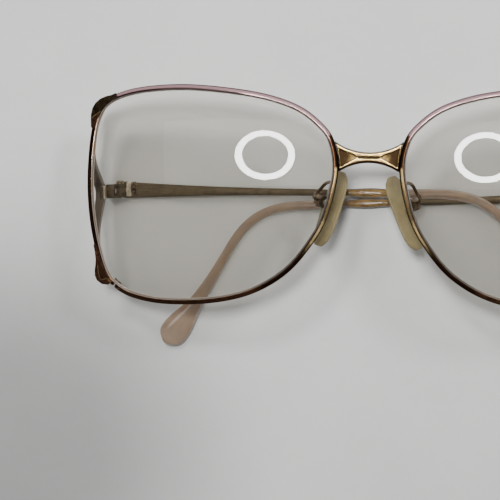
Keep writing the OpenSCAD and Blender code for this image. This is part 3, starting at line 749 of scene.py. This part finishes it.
class EYEGLASS_OT_lenses(bpy.types.Operator):
    """Grinds the faces of the lenses to smooth spheres inside their bevelled edge"""

    bl_idname = "eyeglass.lenses"
    bl_label = "Lenses"

    def execute(self, context):
        glass = lens_glass(Wire("left").length())
        rings = context.scene.eyeglass_lens.rings
        rim_width = 2
        for side in SIDES:
            wire = Wire(side)
            bm = merged_copy("lens_" + side)
            place = wire.places(np.array([v.co for v in bm.verts]))
            inner = [v for v, (_, out, _) in zip(bm.verts, place) if out < -rim_width]
            bmesh.ops.delete(bm, geom=inner, context="VERTS")
            for front in (1, -1):
                loop = [e for e in bm.edges if e.is_boundary
                        and ((e.verts[0].co - wire.centre).length - wire.radius) * front > 0]
                radius = sum((e.verts[0].co - wire.centre).length for e in loop) / len(loop)
                for k in range(rings, 0, -1):
                    new = bmesh.ops.extrude_edge_only(bm, edges=loop)["geom"]
                    ring = [v for v in new if isinstance(v, bmesh.types.BMVert)]
                    loop = [e for e in new if isinstance(e, bmesh.types.BMEdge)
                            and all(v in ring for v in e.verts)]
                    share = (k - 1) / k
                    for v in ring:
                        flat = wire.middle + (v.co - wire.middle) * share
                        x, y = flat.x - wire.centre.x, flat.y - wire.centre.y
                        v.co = (flat.x, flat.y, wire.centre.z + math.sqrt(radius ** 2 - x * x - y * y))
                bmesh.ops.remove_doubles(bm, verts=ring, dist=0.01 * MM)
            bmesh.ops.recalc_face_normals(bm, faces=bm.faces)
            crisp(bm)
            piece = add_piece("lens_glass_" + side, bm, "lens_" + side, "lens_clear", glass)
            wire.keep_places(piece.data)
        return {"FINISHED"}


class EYEGLASS_OT_bridge(bpy.types.Operator):
    """Softens the bridge into a polished casting with dark panels"""

    bl_idname = "eyeglass.bridge"
    bl_label = "Bridge"

    def execute(self, context):
        bm = cast_copy("bridge", context.scene.eyeglass_metal.grain, 5)
        finish = bridge_gold(*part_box("bridge"))
        piece = add_piece("bridge_casting", bm, "bridge", "gold_metal", finish)
        keep_facing(piece.data)
        return {"FINISHED"}


class EYEGLASS_OT_yokes(bpy.types.Operator):
    """Softens the forked end pieces with their corner lugs"""

    bl_idname = "eyeglass.yokes"
    bl_label = "Yokes"

    def execute(self, context):
        cell = 1.25 * context.scene.eyeglass_metal.grain
        for side in SIDES:
            bm = cast_copy("yoke_" + side, cell, 4)
            low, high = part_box("hinge_front_" + side)
            leaf = (low.x if side == "left" else high.x) / MM
            finish = yoke_bronze(side, leaf, (low.y + high.y) / 2 / MM)
            piece = add_piece("yoke_casting_" + side, bm, "yoke_" + side, "bronze_metal", finish)
            Wire(side).keep_places(piece.data)
        return {"FINISHED"}


class EYEGLASS_OT_closings(bpy.types.Operator):
    """Eases the closing blocks and their screws behind the lower lugs"""

    bl_idname = "eyeglass.closings"
    bl_label = "Closing blocks"

    def execute(self, context):
        metal = context.scene.eyeglass_metal
        # The closing block is coloured grey-brown like the shade around it: painted shade
        block = turned_metal("closing_block_shade_brown", (0.26, 0.22, 0.17), 0.4)
        screw = turned_metal("closing_screw_steel", (0.42, 0.38, 0.32))
        for side in SIDES:
            for part, slot, finish in (
                    ("block", "bronze_metal", block),
                    ("screw", "screw_metal", screw)):
                node = f"closing_{part}_{side}"
                add_piece(node + "_dressed", cut_metal(node, metal.edge), node, slot, finish)
        return {"FINISHED"}


class EYEGLASS_OT_hinges(bpy.types.Operator):
    """Eases the leaves and knuckles of both hinges and their screws"""

    bl_idname = "eyeglass.hinges"
    bl_label = "Hinges"

    def execute(self, context):
        metal = context.scene.eyeglass_metal
        bronze = turned_metal("hinge_bronze", tint(metal.satin, 0.9), 0.26)
        gold = turned_metal("hinge_gold", (0.66, 0.54, 0.38), 0.2)
        for side in SIDES:
            low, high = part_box("hinge_screw_" + side)
            leaf = hinge_leaf(side, (low + high) / 2 / MM)
            for part, slot, finish in (
                    ("front", "bronze_metal", bronze),
                    ("temple", "gold_metal", leaf),
                    ("screw", "gold_metal", gold)):
                node = f"hinge_{part}_{side}"
                add_piece(node + "_dressed", cut_metal(node, metal.edge), node, slot, finish)
        return {"FINISHED"}


class EYEGLASS_OT_temples(bpy.types.Operator):
    """Rounds the long edges of the temple blades"""

    bl_idname = "eyeglass.temples"
    bl_label = "Temple blades"

    def execute(self, context):
        satin = satin_plate("blade_satin_gold", tint(context.scene.eyeglass_metal.satin))
        for side in SIDES:
            bm = merged_copy("temple_" + side)
            squared(bm)
            # Faces with more than four corners close the ends, and their outlines stay sharp
            crease = bm.edges.layers.float.new("crease_edge")
            for face in bm.faces:
                if len(face.verts) > 4:
                    for e in face.edges:
                        e[crease] = 0.9
            piece = add_piece("temple_blade_" + side, bm, "temple_" + side, "gold_metal", satin)
            rounded(piece)
        return {"FINISHED"}


class EYEGLASS_OT_tips(bpy.types.Operator):
    """Rounds the plastic tips over the ends of the blades"""

    bl_idname = "eyeglass.tips"
    bl_label = "Temple tips"

    def execute(self, context):
        for side in SIDES:
            low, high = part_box("tip_" + side)
            start = (low.x if side == "left" else high.x) / MM
            bm = merged_copy("tip_" + side)
            squared(bm)
            finish = tip_plastic(side, start)
            piece = add_piece("temple_tip_" + side, bm, "tip_" + side, "tip_plastic", finish)
            keep_facing(piece.data)
            rounded(piece)
        return {"FINISHED"}


class EYEGLASS_OT_pad_mounts(bpy.types.Operator):
    """Rounds the pad arms and eases the pad boxes and their screws"""

    bl_idname = "eyeglass.pad_mounts"
    bl_label = "Pad arms and boxes"

    def execute(self, context):
        metal = context.scene.eyeglass_metal
        bronze = turned_metal("pad_arm_bronze", (0.21, 0.13, 0.06), 0.14)
        screw = turned_metal("pad_screw_steel", (0.5, 0.44, 0.36))
        for side in SIDES:
            bm = merged_copy("pad_arm_" + side)
            squared(bm, bend=75)
            arm = add_piece("pad_arm_wire_" + side, bm, "pad_arm_" + side, "bronze_metal", bronze)
            rounded(arm)
            for part, slot, finish in (
                    ("box", "bronze_metal", bronze),
                    ("screw", "screw_metal", screw)):
                node = f"pad_{part}_{side}"
                add_piece(node + "_dressed", cut_metal(node, metal.edge), node, slot, finish)
        return {"FINISHED"}


class EYEGLASS_OT_nose_pads(bpy.types.Operator):
    """Moulds the nose pads as one soft body with their lugs"""

    bl_idname = "eyeglass.nose_pads"
    bl_label = "Nose pads"

    def execute(self, context):
        silicone = pad_silicone()
        for side in SIDES:
            bm = cast_copy("nose_pad_" + side, context.scene.eyeglass_soft.pad_cell, 4)
            add_piece("silicone_pad_" + side, bm, "nose_pad_" + side, "pad_silicone", silicone)
        return {"FINISHED"}


# Lens, place and turn of the camera: millimetres, metres and degrees
CAMERA_LENS = 90.72
CAMERA_SPOT = (0.003456, 0.054013, 0.308229)
CAMERA_TURN = (-11.46725, 6.09569, -0.11828)


class EYEGLASS_OT_stage(bpy.types.Operator):
    """Sets the table, the soft lamps, the ring lamp and the camera"""

    bl_idname = "eyeglass.stage"
    bl_label = "Table, lamps and camera"

    def execute(self, context):
        stage = context.scene.eyeglass_stage
        bm = bmesh.new()
        bmesh.ops.create_grid(bm, x_segments=2, y_segments=2, size=3)
        self.put("table", bm, table_top())
        # The ceiling is only mirrored in the metal, and the lamps only light what they reach
        for name, power, wide, deep, spot in (
                ("ceiling", stage.ceiling, 0.9, 0.3, (0.0, 0.11, 0.7)),
                ("lamp_brow", stage.key, 0.08, 0.08, (-0.03, 0.19, 0.55)),
                ("lamp_far_left", stage.side, 0.09, 0.09, (-0.17, 0.42, 0.56)),
                ("lamp_far_right", stage.side, 0.12, 0.12, (0.34, 0.40, 0.50))):
            lamp = bpy.data.lights.new(name, "AREA")
            lamp.energy = power
            lamp.shape = "RECTANGLE"
            lamp.size = wide
            lamp.size_y = deep
            holder = bpy.data.objects.new(name, lamp)
            holder.location = spot
            holder.rotation_euler = (-Vector(spot)).to_track_quat("-Z", "Y").to_euler()
            holder.visible_transmission = False
            mirrored = name == "ceiling"
            holder.visible_diffuse = not mirrored
            holder.visible_glossy = mirrored
            context.scene.collection.objects.link(holder)
        self.set_sky(context)
        camera = self.set_camera(context)
        self.set_ring(context, camera)
        return {"FINISHED"}

    @staticmethod
    def put(name, bm, material):
        mesh = bpy.data.meshes.new(name)
        bm.to_mesh(mesh)
        bm.free()
        mesh.materials.append(material)
        made = bpy.data.objects.new(name, mesh)
        bpy.context.scene.collection.objects.link(made)
        return made

    @staticmethod
    def set_sky(context):
        world = bpy.data.worlds.new("room")
        world.use_nodes = True
        air = world.node_tree.nodes["Background"]
        air.inputs["Color"].default_value = (0.98, 1.0, 1.0, 1)
        air.inputs["Strength"].default_value = context.scene.eyeglass_stage.sky
        context.scene.world = world

    @staticmethod
    def set_camera(context):
        eye = bpy.data.cameras.new("camera")
        eye.sensor_width = 36
        eye.lens = CAMERA_LENS
        camera = bpy.data.objects.new("camera", eye)
        camera.location = CAMERA_SPOT
        camera.rotation_euler = tuple(math.radians(a) for a in CAMERA_TURN)
        context.scene.collection.objects.link(camera)
        context.scene.camera = camera
        return camera

    def set_ring(self, context, camera):
        """The ring lamp glows on the lenses and the metal, and adds no light to the table."""
        squash = (1.0, 0.82, 1.0)
        aside = Vector((0.004, 0, 0))
        stage = context.scene.eyeglass_stage
        bm = bmesh.new()
        for radius in (stage.ring_out, stage.ring_in):
            bmesh.ops.create_circle(bm, segments=96, radius=radius)
        bmesh.ops.bridge_loops(bm, edges=bm.edges)
        bmesh.ops.scale(bm, verts=bm.verts, vec=squash)
        bmesh.ops.translate(bm, verts=bm.verts, vec=camera.location + aside)
        glow = Finish(
            "ring_glow", Base_Color=(0, 0, 0), Emission_Color=(1, 1, 1),
            Emission_Strength=stage.ring_glow)
        ring = self.put("ring_lamp", bm, glow.material)
        ring.visible_diffuse = False
        ring.visible_camera = False
        ring.visible_transmission = False
        ring.visible_shadow = False
        ring.visible_volume_scatter = False


OPERATORS = (
    EYEGLASS_OT_eyewires, EYEGLASS_OT_enamel, EYEGLASS_OT_lenses, EYEGLASS_OT_bridge,
    EYEGLASS_OT_yokes, EYEGLASS_OT_closings, EYEGLASS_OT_hinges, EYEGLASS_OT_temples,
    EYEGLASS_OT_tips, EYEGLASS_OT_pad_mounts, EYEGLASS_OT_nose_pads, EYEGLASS_OT_stage)
SETTINGS = {
    "eyeglass_lens": LensSettings, "eyeglass_metal": MetalSettings, "eyeglass_soft": SoftSettings,
    "eyeglass_stage": StageSettings}


class EYEGLASS_PT_pieces(bpy.types.Panel):
    """Lists the pieces of the frame with their settings"""

    bl_idname = "EYEGLASS_PT_pieces"
    bl_label = "Eyeglass frame"
    bl_space_type = "VIEW_3D"
    bl_region_type = "UI"
    bl_category = "Eyeglasses"

    def draw(self, context):
        for name, group in SETTINGS.items():
            box = self.layout.box()
            for prop in group.__annotations__:
                box.prop(getattr(context.scene, name), prop)
        for operator in OPERATORS:
            self.layout.operator(operator.bl_idname)


def register():
    for group in SETTINGS.values():
        bpy.utils.register_class(group)
    for name, group in SETTINGS.items():
        setattr(bpy.types.Scene, name, bpy.props.PointerProperty(type=group))
    for operator in OPERATORS:
        bpy.utils.register_class(operator)
    bpy.utils.register_class(EYEGLASS_PT_pieces)


def unregister():
    bpy.utils.unregister_class(EYEGLASS_PT_pieces)
    for operator in reversed(OPERATORS):
        bpy.utils.unregister_class(operator)
    for name in SETTINGS:
        delattr(bpy.types.Scene, name)
    for group in SETTINGS.values():
        bpy.utils.unregister_class(group)


def main():
    register()
    for operator in OPERATORS:
        group, name = operator.bl_idname.split(".")
        getattr(getattr(bpy.ops, group), name)()


if __name__ == "__main__":
    main()
